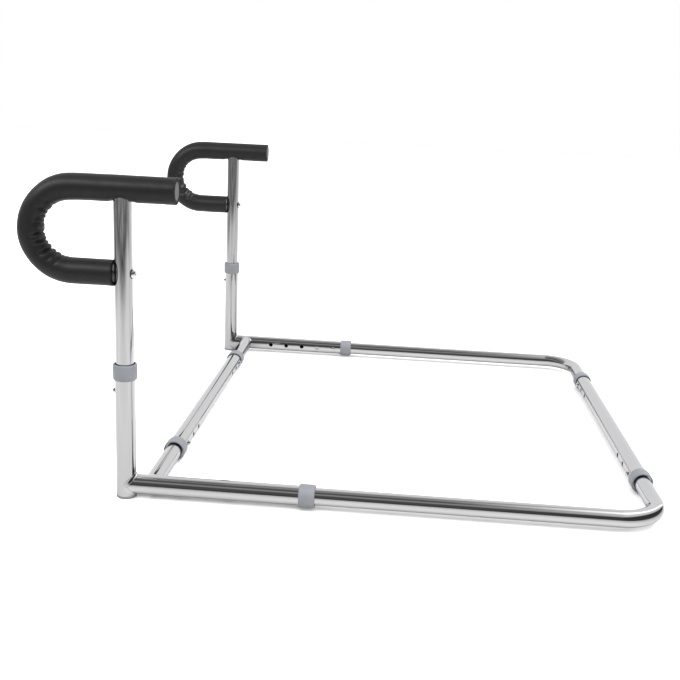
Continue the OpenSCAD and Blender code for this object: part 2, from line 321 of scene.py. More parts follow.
# %% Foam
CUT_DEPTH = 0.5 * MM
CUT_BLUR = 0.45
PATCH_SIZE, PORE_SIZE, NET_SIZE = 0.03, 0.0011, 0.0028
PORE_DEPTH, NET_DEPTH = 4e-5, 1.2e-4
MIDDLE_Z = GRIP_Z - BEND_R


def foam_skin():
    material, tree, shader, place = new_finish("foam_skin", Specular_IOR_Level=0.25)
    patches = tree.noise(place, PATCH_SIZE, detail=5, roughness=0.6)
    pores = tree.node("ShaderNodeTexVoronoi", {"feature": "F1"}, {"Vector": place, "Scale": 1 / PORE_SIZE})
    along, _, height = tree.split(place)
    low_leg = tree.between(height, 1, 0, MIDDLE_Z - CUT_DEPTH, MIDDLE_Z)
    back_cut, low_cut = (tree.between(along, 0, 1, POST_X + end - CUT_DEPTH, POST_X + end)
                         for end in (GRIP_BACK, LOWER_END))
    cut = back_cut + low_cut * low_leg * (1 - back_cut)
    tree.feed(shader.inputs["Base Color"],
              tree.ramp(patches, [(0.3, (0.0032, 0.0032, 0.0033)), (0.7, (0.005, 0.005, 0.0051))]))
    polish, pits = tree.between(patches, 0.5, 0.42), tree.between(pores, 0.08, 0, 0.1, 0.5)
    tree.feed(shader.inputs["Roughness"], polish + pits + CUT_BLUR * cut)
    net = tree.bump(tree.noise(place, NET_SIZE, detail=4, roughness=0.6), NET_DEPTH)
    tree.feed(shader.inputs["Normal"], tree.bump(tree.between(pores, 0, 1, 0, 0.45), PORE_DEPTH, net))
    return material


grip_foam = foam_skin()
print("foam:", grip_foam.name)

# %% [markdown]
# ## Each solid gets its finish
# A solid that has the right shape stays, and only its material changes. The name of a solid says what it
# is, so a short list from the end of the name to the finish is enough.

# %% Finishes on the solids
FINISH_BY_PIECE = {
    "post_tube": chromes["upright"], "handle_post": chromes["upright"], "side_rail": chromes["along"],
    "front_stub": chromes["across"], "sleeve": chromes["across"], "corner_tube": chromes["round"],
    "handle_tube": chromes["along"], "welds": chromes["round"], "weld": chromes["round"],
    "collar": collar_grey, "foot_cap": collar_grey, "grip_cap": cap_grey, "plug": plug_black,
    "grip": grip_foam, "screw": screw_steel, "button": button_steel, "spring": spring_steel,
}
for name, solid in nodes.items():
    finish = next(made for ending, made in FINISH_BY_PIECE.items() if name.endswith(ending))
    for slot in solid.material_slots:
        slot.material = finish
print("finishes on", len(nodes), "solids")

# %% [markdown]
# ## The grips
# Each grip is one length of foam sleeve that was pushed over a straight tube before the tube was bent.
# The outside of the bend is stretched thin, and the inside is too long for its way, so it gathers in
# creases with soft rolls between them. A physics run would find creases of its own; these have to be
# where the real ones are, so the sleeve is a fine grid along the tube, and its radius is lowered along
# each crease and raised between them.
#
# A point of the sleeve has a distance along the tube and an angle round it, 0 on the inside of the bend.
# A crease has a place in degrees along the bend, a reach in degrees round the sleeve, a depth in
# millimetres, a width in degrees and a slant. The picture shows the left flank of both grips, so the
# first four are given for it, in that order. The right flank has the same creases, with a reach that is
# changed by lot. All slants are drawn by lot.

# %% Creases
SEEN_CREASES = {
    "left": [(40, 66, 1.1, 1.6), (55.5, 62, 1.2, 1.6), (64.5, 36, 1.0, 1.6), (74, 50, 1.1, 1.6),
             (82, 54, 1.2, 1.6), (91.5, 34, 1.0, 1.6), (99, 76, 1.7, 1.6), (107, 40, 0.9, 1.6),
             (116, 74, 2.0, 1.6), (123, 78, 1.2, 1.6), (134, 72, 2.2, 1.8), (144.5, 64, 1.2, 1.6),
             (156, 62, 1.5, 1.8), (164, 40, 0.5, 1.6)],
    "right": [(46, 50, 0.6, 2.0), (56, 62, 0.8, 2.2), (67, 74, 0.6, 2.0), (78, 60, 0.5, 2.0),
              (94, 86, 1.6, 2.6), (103, 60, 0.5, 1.8), (111, 90, 1.8, 2.4), (127, 96, 2.4, 2.6),
              (139, 60, 0.6, 1.8), (152.5, 80, 1.3, 2.2), (160.5, 60, 0.9, 1.8)],
}
FAR_REACH, LARGEST_SLANT = (0.7, 1.15), 0.06
# A crease fades between two shares of its reach, and is shallower on the inside of the bend.
FADE_FROM, FADE_TO, INSIDE_SHARE = 0.6, 1.3, 0.6
# Degrees round the sleeve, then along the bend
FLANK_BLEND, SHALLOW_ROUND, ROLL_ROUND = 14, (8, 45), (30, 85)
ROLLS_FROM, ROLLS_TO = (22, 50), (150, 178)
WIDER_TO_THE_SIDE = 0.6
DEPTH_GAIN, SHARPNESS = 1.75, 1.3
# A roll's height in millimetres, and its spacing in widths of a crease
ROLL_HEIGHT, ROLL_SPACING = 0.9, 2.2


def crease_list(side):
    """Place, flank, reach, depth, width and slant of the creases of one grip."""
    draw = np.random.RandomState(SIDES.index(side))
    made = []
    for place, reach, depth, width in SEEN_CREASES[side]:
        for flank in (-1, 1):
            far = 1 if flank < 0 else draw.uniform(*FAR_REACH)
            slant = draw.uniform(-LARGEST_SLANT, LARGEST_SLANT)
            made.append((place, flank, reach * far, depth, width, slant))
    return made


def smooth(low, high, x):
    """0 up to low, 1 from high on, and an even curve between them."""
    t = np.clip((x - low) / (high - low), 0, 1)
    return t * t * (3 - 2 * t)


def crease_depth(bend, round_angle, creases):
    """Millimetres below plain foam, at degrees along the bend and degrees round the sleeve."""
    total = np.zeros(np.broadcast(bend, round_angle).shape)
    near = np.zeros_like(total)
    from_inside = np.abs(round_angle)
    for place, flank, reach, depth, width, slant in creases:
        on_flank = smooth(-FLANK_BLEND, FLANK_BLEND, flank * round_angle)
        off = (bend - place - slant * from_inside) / (width * (1 + WIDER_TO_THE_SIDE * from_inside / 90))
        fade = 1 - smooth(FADE_FROM * reach, FADE_TO * reach, from_inside)
        shallow_inside = INSIDE_SHARE + (1 - INSIDE_SHARE) * smooth(*SHALLOW_ROUND, from_inside)
        total += on_flank * shallow_inside * DEPTH_GAIN * depth * np.exp(-np.abs(off) ** SHARPNESS) * fade
        near += on_flank * np.exp(-((off / ROLL_SPACING) ** 2)) * fade
    along_bend = smooth(*ROLLS_FROM, bend) * (1 - smooth(*ROLLS_TO, bend))
    gathered = along_bend * (1 - smooth(*ROLL_ROUND, from_inside))
    return total - ROLL_HEIGHT * gathered * (1 - np.clip(near, 0, 1))


print("creases:", {side: len(crease_list(side)) for side in SIDES})

# %% [markdown]
# The sleeve's outer wall, its bore, its two cut ends and the hole for the post are one closed skin. The
# hole is the only place where a plain grid doesn't do: there a square of the grid is left out, and rings
# of quads lead from its edge to the round edge of the hole. The bore uses the same plan with fewer rings.

# %% The shape of the sleeve
BEND_LENGTH = math.pi * BEND_R
UPPER_LENGTH = GRIP_BACK - BEND_X
LOWER_LENGTH = LOWER_END - BEND_X
SLEEVE_LENGTH = UPPER_LENGTH + BEND_LENGTH + LOWER_LENGTH
HOLE_AT = GRIP_BACK
# Heights in millimetres, with the degrees along the bend and round the sleeve where each comes and goes
STRETCHED_THIN, STRETCH_FROM, STRETCH_TO, STRETCH_ROUND = 2.4, (-14, 46), (50, 112), (60, 170)
SWELL_BEFORE_BEND, SWELL_FROM, SWELL_TO, SWELL_ROUND = 0.8, (-14, 6), (16, 40), (20, 80)
LIFT_AT_POST, LIFT_WIDTH, LIFT_ROUND = 1.3, 4 * MM, (45, 75)
# Ripples of the skin: heights in millimetres, radians by the metre, starts in radians, waves once round
RIPPLE_HEIGHT, RIPPLE_RATE, RIPPLE_START = (0.02, 0.06), (40, 160), (0, 6)
RIPPLES_ROUND, RIPPLE_SEED = (0, 1, 1, 2, 3), 100


def sleeve_point(run, round_angle, radius, y):
    """Points at a distance along the tube from its back end, degrees round it and a radius."""
    turned = np.clip((run - UPPER_LENGTH) / BEND_R, 0, math.pi)
    past_bend = np.clip(run - UPPER_LENGTH - BEND_LENGTH, 0, None)
    straight_x = np.where(run < UPPER_LENGTH, GRIP_BACK - run, BEND_X + past_bend)
    axis_x = straight_x - BEND_R * np.sin(turned)
    axis_z = GRIP_Z - BEND_R + BEND_R * np.cos(turned)
    inward = radius * np.cos(np.radians(round_angle))
    return np.stack([POST_X + axis_x + inward * np.sin(turned),
                     np.broadcast_to(y + radius * np.sin(np.radians(round_angle)), axis_x.shape),
                     axis_z - inward * np.cos(turned)], -1)


def foam_radius(run, round_angle, creases, seed):
    """The outer wall: plain foam and its swell, less the creases, the stretch and the lift at the post."""
    angle = (round_angle + 180) % 360 - 180
    from_inside = np.abs(angle)
    bend = np.degrees((run - UPPER_LENGTH) / BEND_R)
    outside = smooth(*STRETCH_ROUND, from_inside)
    stretch = STRETCHED_THIN * smooth(*STRETCH_FROM, bend) * (1 - smooth(*STRETCH_TO, bend)) * outside
    before_bend = smooth(*SWELL_FROM, bend) * (1 - smooth(*SWELL_TO, bend))
    swell = SWELL_BEFORE_BEND * before_bend * (1 - smooth(*SWELL_ROUND, from_inside))
    from_post = np.hypot(run - HOLE_AT, OUTER_R * np.radians(angle)) - POST_HOLE_R
    near_post = np.exp(-np.clip(from_post / LIFT_WIDTH, 0, None) ** 2)
    lift = LIFT_AT_POST * near_post * (1 - smooth(*LIFT_ROUND, from_inside))
    draw = np.random.RandomState(RIPPLE_SEED + seed)
    uneven = 0
    for waves in RIPPLES_ROUND:
        height = draw.uniform(*RIPPLE_HEIGHT)
        rate = draw.uniform(*RIPPLE_RATE)
        start = draw.uniform(*RIPPLE_START)
        uneven = uneven + height * np.sin(run * rate + start + waves * np.radians(angle))
    return FOAM_R + MM * (swell - crease_depth(bend, angle, creases) - stretch - lift + uneven)


print("sleeve length", round(SLEEVE_LENGTH, 4))

# %% The sleeve's grid
ROUND_STEPS = 96
ROUND_ANGLES = np.arange(ROUND_STEPS) * 360 / ROUND_STEPS
HOLE_HALF = 24 * MM
HOLE_COLUMNS = ROUND_STEPS // 4
HOLE_RINGS = 9
RING_CROWDING = 1.5


def bridge(ring_a, ring_b):
    """Quads from one closed ring of point numbers to the next."""
    following = [*range(1, len(ring_a)), 0]
    return [(ring_a[a], ring_a[b], ring_b[b], ring_b[a]) for a, b in enumerate(following)]


def grid_faces(number, first, last):
    """Quads of a wall's grid, apart from the square that is left out for the post."""
    faces = []
    for i in range(len(number) - 1):
        for j in range(ROUND_STEPS):
            in_hole = first <= i < last and (j < HOLE_COLUMNS or j >= ROUND_STEPS - HOLE_COLUMNS)
            if not in_hole:
                k = (j + 1) % ROUND_STEPS
                faces.append((number[i, j], number[i, k], number[i + 1, k], number[i + 1, j]))
    return faces


def square_edge(first, last):
    """Row and column of each point on the edge of the square, once round."""
    columns, rows = range(-HOLE_COLUMNS, HOLE_COLUMNS), range(first, last)
    return ([(first, j) for j in columns] + [(i, HOLE_COLUMNS) for i in rows]
            + [(last, -j) for j in columns] + [(first + last - i, -HOLE_COLUMNS) for i in rows])


def sleeve_wall(runs, radius_at, wall_r, y):
    """Points and faces of one wall, and the point numbers of its two ends and of its post hole."""
    runs = np.asarray(runs)
    run_grid, angle_grid = np.meshgrid(runs, ROUND_ANGLES, indexing="ij")
    number = np.arange(run_grid.size).reshape(run_grid.shape)
    first = int(np.argmin(np.abs(runs - (HOLE_AT - HOLE_HALF))))
    last = int(np.argmin(np.abs(runs - (HOLE_AT + HOLE_HALF))))
    faces = grid_faces(number, first, last)
    edge = square_edge(first, last)
    edge_run = np.array([runs[i] - HOLE_AT for i, j in edge])
    edge_side = np.radians(np.array([j * 360 / ROUND_STEPS for i, j in edge]))
    heading = np.arctan2(edge_side * OUTER_R, edge_run)
    hole_run = POST_HOLE_R * np.cos(heading)
    hole_side = np.arcsin(np.clip(POST_HOLE_R * np.sin(heading) / wall_r, -1, 1))
    all_runs, all_angles = [run_grid.ravel()], [angle_grid.ravel()]
    ring = [number[i, j % ROUND_STEPS] for i, j in edge]
    count = run_grid.size
    for step in range(1, HOLE_RINGS + 1):
        share = 1 - (1 - step / HOLE_RINGS) ** RING_CROWDING
        all_runs.append(HOLE_AT + edge_run + share * (hole_run - edge_run))
        all_angles.append(np.degrees(edge_side + share * (hole_side - edge_side)))
        next_ring = list(range(count, count + len(edge)))
        faces += bridge(ring, next_ring)
        ring = next_ring
        count += len(edge)
    all_runs, all_angles = np.concatenate(all_runs), np.concatenate(all_angles)
    points = sleeve_point(all_runs, all_angles, radius_at(all_runs, all_angles), y)
    return points, faces, list(number[0]), list(number[-1]), ring


# %% [markdown]
# The rings of the grid are close together in the bend, where the creases are, and wide apart elsewhere.
# At each end the outer edge is rounded, and a few more rings lead from it to the bore. The lower end is
# cut square, and the back end curls a little over the edge of the cap. Both are listed as radius and
# depth in millimetres.

# %% Making a grip
EDGE_R = 1.1 * MM
EDGE_TURNS = (30, 60, 90)
CUT_EDGE = ((15.55, 0), (14.7, 0.1))
CURLED_EDGE = ((15.6, -0.15), (14.6, -0.42), (13.7, -0.45), (13.1, -0.32), (12.9, -0.1), (13.1, 0.1),
               (14.35, 0.14))
BACK_STEP, STRAIGHT_STEP, BEND_STEP, BORE_STEP = 2.5 * MM, 2 * MM, 0.65 * MM, 5 * MM
BEFORE_BEND, PAST_BEND = 6 * MM, 4 * MM


def closed_mesh(name, points, faces, finish):
    """A mesh of these faces alone, with outward normals and smooth shading."""
    used = sorted({p for face in faces for p in face})
    renumber = {old: new for new, old in enumerate(used)}
    mesh = bpy.data.meshes.new(name)
    mesh.from_pydata([tuple(points[p]) for p in used], [], [[renumber[p] for p in face] for face in faces])
    work = bmesh.new()
    work.from_mesh(mesh)
    bmesh.ops.recalc_face_normals(work, faces=work.faces)
    work.to_mesh(mesh)
    work.free()
    mesh.shade_smooth()
    mesh.materials.append(finish)
    piece = bpy.data.objects.new(name, mesh)
    bpy.context.scene.collection.objects.link(piece)
    return piece


def spaced(start, end, step):
    """Even distances from start to end, about step apart."""
    return list(np.linspace(start, end, max(2, int(round((end - start) / step)) + 1)))


def sleeve_runs():
    """Distances along the tube of the rings of the outer wall and of the bore."""
    hole_from, hole_to = HOLE_AT - HOLE_HALF, HOLE_AT + HOLE_HALF
    bend_from, bend_to = UPPER_LENGTH - BEFORE_BEND, UPPER_LENGTH + BEND_LENGTH + PAST_BEND
    end = SLEEVE_LENGTH - EDGE_R
    upper = spaced(EDGE_R, hole_from, BACK_STEP)[:-1] + spaced(hole_from, hole_to, STRAIGHT_STEP)
    outer = (upper + spaced(hole_to, bend_from, STRAIGHT_STEP)[1:]
             + spaced(bend_from, bend_to, BEND_STEP)[1:] + spaced(bend_to, end, STRAIGHT_STEP)[1:])
    return outer, upper + spaced(hole_to, end, BORE_STEP)[1:]


def make_grip(side, seed):
    y = SIDE_Y[side]
    creases = crease_list(side)
    outer_runs, bore_runs = sleeve_runs()
    points, faces, back, low, hole = sleeve_wall(
        outer_runs, lambda run, angle: foam_radius(run, angle, creases, seed), FOAM_R, y)
    bore_points, bore_faces, *bore_rings = sleeve_wall(
        bore_runs, lambda run, angle: np.full(run.shape, FOAM_BORE_R), FOAM_BORE_R, y)
    shift = len(points)
    points = np.concatenate([points, bore_points])
    faces += [tuple(p + shift for p in face) for face in bore_faces]
    bore_back, bore_low, bore_hole = ([p + shift for p in ring] for ring in bore_rings)
    rounded = [(FOAM_R - EDGE_R * (1 - math.cos(a)), EDGE_R * (1 - math.sin(a)))
               for a in map(math.radians, EDGE_TURNS)]
    for ring, bore_ring, end, way, inner_edge in ((back, bore_back, 0, 1, CURLED_EDGE),
                                                  (low, bore_low, SLEEVE_LENGTH, -1, CUT_EDGE)):
        for radius, depth in rounded + [(r * MM, d * MM) for r, d in inner_edge]:
            new_points = sleeve_point(np.full(ROUND_STEPS, end + way * depth), ROUND_ANGLES, radius, y)
            new_ring = list(range(len(points), len(points) + ROUND_STEPS))
            points = np.concatenate([points, new_points])
            faces += bridge(ring, new_ring)
            ring = new_ring
        faces += bridge(ring, bore_ring)
    faces += bridge(hole, bore_hole)
    grip = closed_mesh(f"{side}_foam_grip", points, faces, grip_foam)
    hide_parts(f"{side}_grip")
    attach(grip, f"{side}_handle")
    return grip


grips = {side: make_grip(side, seed) for seed, side in enumerate(SIDES)}
print("faces:", {grip.name: len(grip.data.polygons) for grip in grips.values()})

# %% [markdown]
# ## Welds
# The rail meets the post, and the front stub meets the rail, in a saddle-shaped line. After plating, the
# weld there is a smooth hollow that leads from one tube to the other. A saddle line follows a rule: it
# runs round the branch and keeps to the surface of the tube that the branch meets. So a flat grid can
# become the weld. Geometry Nodes write the rule once, with the two radii and the reach of the hollow as
# inputs.

# %% Geometry trees with named sizes
class GeometryTree(Tree):
    """A geometry tree with named number inputs."""

    def __init__(self, name, numbers):
        self.group = bpy.data.node_groups.new(name, "GeometryNodeTree")
        super().__init__(self.group)
        self.group.interface.new_socket("Geometry", in_out="OUTPUT", socket_type="NodeSocketGeometry")
        self.keys = {}
        for number, default in numbers.items():
            kind = "NodeSocketInt" if isinstance(default, int) else "NodeSocketFloat"
            socket = self.group.interface.new_socket(number, in_out="INPUT", socket_type=kind)
            socket.default_value = default
            self.keys[number] = socket.identifier
        self.entry = self.nodes.new("NodeGroupInput")

    def number(self, name):
        return Value(self, self.entry.outputs[name])

    def end(self, geometry, finish):
        """Close the tree: instances made real, smooth shading and one material."""
        single = self.node("GeometryNodeRealizeInstances", None, {"Geometry": geometry})
        smooth_shade = self.node("GeometryNodeSetShadeSmooth", None, {"Geometry": single})
        painted = self.node("GeometryNodeSetMaterial", None, {"Geometry": smooth_shade, "Material": finish})
        self.feed(self.nodes.new("NodeGroupOutput").inputs[0], painted)

    def mesh(self, name, **numbers):
        """The tree's result as a plain mesh."""
        holder = bpy.data.objects.new(name, bpy.data.meshes.new(name))
        bpy.context.scene.collection.objects.link(holder)
        modifier = holder.modifiers.new("nodes", "NODES")
        modifier.node_group = self.group
        for number, value in numbers.items():
            modifier[self.keys[number]] = value
        graph = bpy.context.evaluated_depsgraph_get()
        mesh = bpy.data.meshes.new_from_object(holder.evaluated_get(graph), depsgraph=graph)
        bpy.data.objects.remove(holder)
        return mesh


# %% [markdown]
# One way of the grid goes round the branch. The other goes from the through tube over the hollow to the
# branch, and its last two rows go back under the line, so that the weld is a closed ring. The hollow
# itself is a curve that starts on one tube, ends on the other and bends towards the line where they meet.

# %% A tree that lays a weld
AROUND, OVER = 192, 12
ROWS = OVER + 3
MERGE_WITHIN = 1e-7


def weld_tree(finish):
    """The through tube runs along Z, the branch along X. Reach is the hollow's width on each tube."""
    tree = GeometryTree("weld", {"Through": OUTER_R, "Branch": OUTER_R, "Reach": 3 * MM,
                                 "Fullness": 0.12 * MM, "Depth": 0.5 * MM})
    through, branch, reach, depth = (tree.number(name) for name in ("Through", "Branch", "Reach", "Depth"))
    grid = tree.node("GeometryNodeMeshGrid", None, {"Vertices X": AROUND + 1, "Vertices Y": ROWS})
    index = tree.node("GeometryNodeInputIndex")
    step = index.do("MODULO", float(ROWS))
    angle = (index - step) * (2 * math.pi / ROWS / AROUND)
    share = (step / float(OVER)).do("MINIMUM", 1.0)
    under = step.do("COMPARE", OVER + 1.0, 0.1)
    back = step.do("COMPARE", OVER + 2.0, 0.1)
    side, along = angle.do("COSINE") * branch, angle.do("SINE") * branch
    turned = (side / through).do("ARCSINE")
    unrolled = turned * through
    far = (unrolled * unrolled + along * along).do("SQRT")
    turned_out = turned + reach * unrolled / far / through
    line = (turned.do("COSINE") * through, side, along)
    on_through = (turned_out.do("COSINE") * through, turned_out.do("SINE") * through,
                  along + reach * along / far)
    on_branch = (line[0] + reach, line[1], line[2])
    shrunk = 1 - depth / branch
    inside = (line[0] - depth, line[1] * shrunk, line[2] * shrunk)
    outward = (turned.do("COSINE"), turned.do("SINE") + angle.do("COSINE"), angle.do("SINE"))
    full = (share * math.pi).do("SINE") * tree.number("Fullness")
    rest = 1 - share
    place = []
    for a, s, b, i, o in zip(on_through, line, on_branch, inside, outward):
        hollow = rest * rest * a + 2 * share * rest * s + share * share * b + full * o
        place.append(hollow * (1 - under) * (1 - back) + i * under + a * back)
    laid = tree.node("GeometryNodeSetPosition", None, {"Geometry": grid, "Position": tree.vector(*place)})
    merged = tree.node("GeometryNodeMergeByDistance", None, {"Geometry": laid, "Distance": MERGE_WITHIN})
    tree.end(merged, finish)
    return tree


# %% [markdown]
# One mesh is made for each body: the two welds of a floor frame ride with that frame. A joined mesh keeps
# its place in its points. `facing` turns a piece that was made with its hole or branch along X and its
# tube along Z.

# %% Welds on their bodies
RAIL_WELD_REACH, STUB_WELD_REACH = 4 * MM, 2.5 * MM


def joined(name, parts):
    """One object from meshes and the matrices that put them in place."""
    work = bmesh.new()
    for mesh, place in parts:
        start = len(work.verts)
        work.from_mesh(mesh)
        work.verts.ensure_lookup_table()
        bmesh.ops.transform(work, matrix=place, verts=work.verts[start:])
    bmesh.ops.recalc_face_normals(work, faces=work.faces)
    made = bpy.data.meshes.new(name)
    work.to_mesh(made)
    work.free()
    made.materials.append(next(material for material in parts[0][0].materials if material))
    made.polygons.foreach_set("material_index", [0] * len(made.polygons))
    made.shade_smooth()
    piece = bpy.data.objects.new(name, made)
    bpy.context.scene.collection.objects.link(piece)
    return piece


def facing(place, direction, run):
    """A matrix to place, with X turned to direction and Z to run."""
    x, z = Vector(direction), Vector(run)
    return Matrix.Translation(place) @ Matrix((x, z.cross(x), z)).transposed().to_4x4()


welds = weld_tree(chromes["round"])
rail_weld = welds.mesh("rail_weld", Through=OUTER_R, Branch=OUTER_R, Reach=RAIL_WELD_REACH)
stub_weld = welds.mesh("stub_weld", Through=OUTER_R, Branch=INNER_R, Reach=STUB_WELD_REACH)
for side in SIDES:
    inward = -math.copysign(1, SIDE_Y[side])
    piece = joined(f"{side}_welds", [
        (rail_weld, facing((POST_X, SIDE_Y[side], FLOOR_AXIS_Z), (1, 0, 0), (0, 0, 1))),
        (stub_weld, facing((CROSS_X["front"], SIDE_Y[side], FLOOR_AXIS_Z), (0, inward, 0), (1, 0, 0)))])
    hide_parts(f"{side}_frame_welds")
    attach(piece, f"{side}_frame")
    print(piece.name, len(piece.data.polygons), "faces")

# %% [markdown]
# ## Rims of the holes
# A punched hole in a plated tube has no sharp edge: its rim is turned in and polished with the rest, and
# a thin bright line runs round it. A rim follows the saddle rule as well. The holes come in rows with an
# even pitch, so the tree bends one ring to the tube's surface, sweeps it, and sets it at each point of a
# line along the tube.

# %% A tree that makes a row of rims
RIM_POINTS, WIRE_POINTS = 48, 8
RIM_THICK = 0.13 * MM


def rim_tree(finish):
    """The tube runs along Z, and its holes face X."""
    tree = GeometryTree("hole_row", {"Through": OUTER_R, "Hole": HOLE_R, "Thickness": RIM_THICK,
                                     "Count": 3, "Pitch": HOLE_PITCH})
    through, hole = tree.number("Through"), tree.number("Hole")
    ring = tree.node("GeometryNodeCurvePrimitiveCircle", None, {"Resolution": RIM_POINTS, "Radius": 1.0})
    angle = tree.node("GeometryNodeInputIndex") * (2 * math.pi / RIM_POINTS)
    side, along = angle.do("COSINE") * hole, angle.do("SINE") * hole
    out = (through * through - side * side).do("SQRT")
    bent = tree.node("GeometryNodeSetPosition", None,
                     {"Geometry": ring, "Position": tree.vector(out, side, along)})
    wire = tree.node("GeometryNodeCurvePrimitiveCircle", None,
                     {"Resolution": WIRE_POINTS, "Radius": tree.number("Thickness")})
    rim = tree.node("GeometryNodeCurveToMesh", None, {"Curve": bent, "Profile Curve": wire})
    line = tree.node("GeometryNodeMeshLine", None,
                     {"Count": tree.number("Count"), "Offset": tree.vector(0.0, 0.0, tree.number("Pitch"))})
    tree.end(tree.node("GeometryNodeInstanceOnPoints", None, {"Points": line, "Instance": rim}), finish)
    return tree


# %% Rows of rims on their bodies
row_tree = rim_tree(chromes["round"])
outer_row = {"Through": OUTER_R, "Hole": HOLE_R, "Thickness": RIM_THICK}
rail_row = row_tree.mesh("rail_row", Count=5, Pitch=HOLE_PITCH, **outer_row)
post_row = row_tree.mesh("post_row", Count=3, Pitch=HOLE_PITCH, **outer_row)
cross_row = row_tree.mesh("cross_row", Count=3, Pitch=CROSS_PITCH, **outer_row)
vent_row = row_tree.mesh("vent", Through=INNER_R, Hole=VENT_R, Thickness=RIM_THICK, Count=1)
rows = {}
for side in SIDES:
    y = SIDE_Y[side]
    inward = -math.copysign(1, y)
    rows[f"{side}_frame"] = [
        (rail_row, facing((RAIL_BUTTON_X, y, FLOOR_AXIS_Z), (0, inward, 0), (-1, 0, 0))),
        (post_row, facing((POST_X, y, POST_BUTTON_Z), (-1, 0, 0), (0, 0, -1)))]
    rows[f"{side}_corner"] = [
        (vent_row, facing((CROSS_X["rear"], y + inward * VENT_Y, FLOOR_AXIS_Z), (-1, 0, 0), (0, 1, 0)))]
for cross, way in (("front", 1), ("rear", -1)):
    rows[f"{cross}_cross"] = [
        (cross_row, facing((CROSS_X[cross], end * CROSS_BUTTON_Y, FLOOR_AXIS_Z), (way, 0, 0), (0, -end, 0)))
        for end in (-1, 1)]
for body, parts in rows.items():
    piece = joined(f"{body}_hole_rims", parts)
    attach(piece, body)
    print(piece.name, len(piece.data.polygons), "faces")

# %% [markdown]
# ## Leaf springs
# Behind each button a strip of spring steel is folded to a V. The button stands on the upper arm, and
# pressing it bends that arm down towards the lower one. The fold is a path in millimetres with the button
# along Z, and a flat section with blunted edges is swept along it.

# %% The strip of a leaf spring
SPRING_FOLD = ((-5, 8.38), (5, 8.38), (39.6, -5.5), (39.6, -10.07), (-5, -10.07))
FOLD_CUTS = (4, 2.5, 2)
STRIP_SECTION = ((-4, -0.25), (-3.85, -0.4), (3.85, -0.4), (4, -0.25),
                 (4, 0.25), (3.85, 0.4), (-3.85, 0.4), (-4, 0.25))
SHARP_FROM = math.radians(30)


def rounded_path(corners, cuts, steps=8):
    """A path along corners. Each inner corner is rounded from its cut before it to its cut after it."""
    corners = [np.array(corner, float) for corner in corners]
    path = [corners[0]]
    for before, corner, after, cut in zip(corners, corners[1:], corners[2:], cuts):
        start = corner + cut * (before - corner) / np.linalg.norm(before - corner)
        end = corner + cut * (after - corner) / np.linalg.norm(after - corner)
        for t in np.linspace(0, 1, steps + 1):
            path.append((1 - t) ** 2 * start + 2 * t * (1 - t) * corner + t ** 2 * end)
    return np.array(path + [corners[-1]])


def leaf_spring(name):
    path = rounded_path(SPRING_FOLD, FOLD_CUTS)
    heading = np.gradient(path, axis=0)
    heading /= np.linalg.norm(heading, axis=1)[:, None]
    points = [(x - out * head_z, side, z + out * head_x)
              for (x, z), (head_x, head_z) in zip(path, heading) for side, out in STRIP_SECTION]
    corners = len(STRIP_SECTION)
    rings = [range(start, start + corners) for start in range(0, len(points), corners)]
    faces = [tuple(rings[0]), tuple(rings[-1])]
    for ring_a, ring_b in zip(rings, rings[1:]):
        faces += bridge(ring_a, ring_b)
    strip = closed_mesh(name, np.array(points) * MM, faces, spring_steel)
    strip.data.set_sharp_from_angle(angle=SHARP_FROM)
    return strip


# %% Leaf springs under the buttons
for side in SIDES:
    y = SIDE_Y[side]
    inward = -math.copysign(1, y)
    cross_y = -inward * CROSS_BUTTON_Y
    seats = {
        "height": ("handle", (POST_X, y, POST_BUTTON_Z), (-1, 0, 0), (0, 0, 1)),
        "rail": ("corner", (RAIL_BUTTON_X, y, FLOOR_AXIS_Z), (0, inward, 0), (1, 0, 0)),
        "front": ("frame", (CROSS_X["front"], cross_y, FLOOR_AXIS_Z), (1, 0, 0), (0, -inward, 0)),
        "rear": ("corner", (CROSS_X["rear"], cross_y, FLOOR_AXIS_Z), (-1, 0, 0), (0, -inward, 0)),
    }
    for which, (body, place, button_way, fold_way) in seats.items():
        strip = leaf_spring(f"{side}_{which}_leaf")
        strip.data.transform(facing(place, fold_way, button_way))
        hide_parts(f"{side}_{which}_spring")
        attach(strip, f"{side}_{body}")
        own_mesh(strip)
    print(side, "leaf springs:", list(seats))

# %% [markdown]
# ## The studio
# Chrome shows the room, so the room matters as much as the metal. The world gives the room that the tubes
# mirror, as a band of greys by an angle: 0 is level on the camera's side, 90 is overhead and 180 is level
# on the backdrop's side. A second, brighter band is for the room at the picture's right, and the two
# blend between. Their tones are listed to give the tubes the dark and bright lines of the
# picture. The camera itself sees plain white, and what scatters light gets an even dim grey from the
# world.

# %% World
AHEAD_TONES = [(-180, 1.2), (-110, 1.1), (-70, 0.1), (0, 0.055), (8, 0.07), (17, 0.115), (30, 0.1),
               (40, 0.24), (46, 0.42), (53, 0.42), (59, 0.14), (66, 0.12), (76, 0.18), (86, 0.42),
               (92, 0.42), (102, 0.25), (115, 0.85), (130, 1.15), (180, 1.2)]
RIGHT_TONES = [(-180, 1.2), (-110, 1.1), (-70, 0.1), (0, 0.055), (8, 0.06), (15, 0.06), (26, 0.04),
               (31, 0.1), (37, 0.7), (44, 1.0), (60, 1.1), (67, 1.8), (74, 2.8), (81, 2.8),
               (90, 2.2), (101, 1.1), (120, 1.2), (180, 1.2)]
RIGHT_FROM, RIGHT_LEAN, RIGHT_BLEND = 0.05, 1.2, (0.04, 0.34)
SCATTERED_GREY, WHITE = (0.15, 0.15, 0.15, 1), (1, 1, 1, 1)

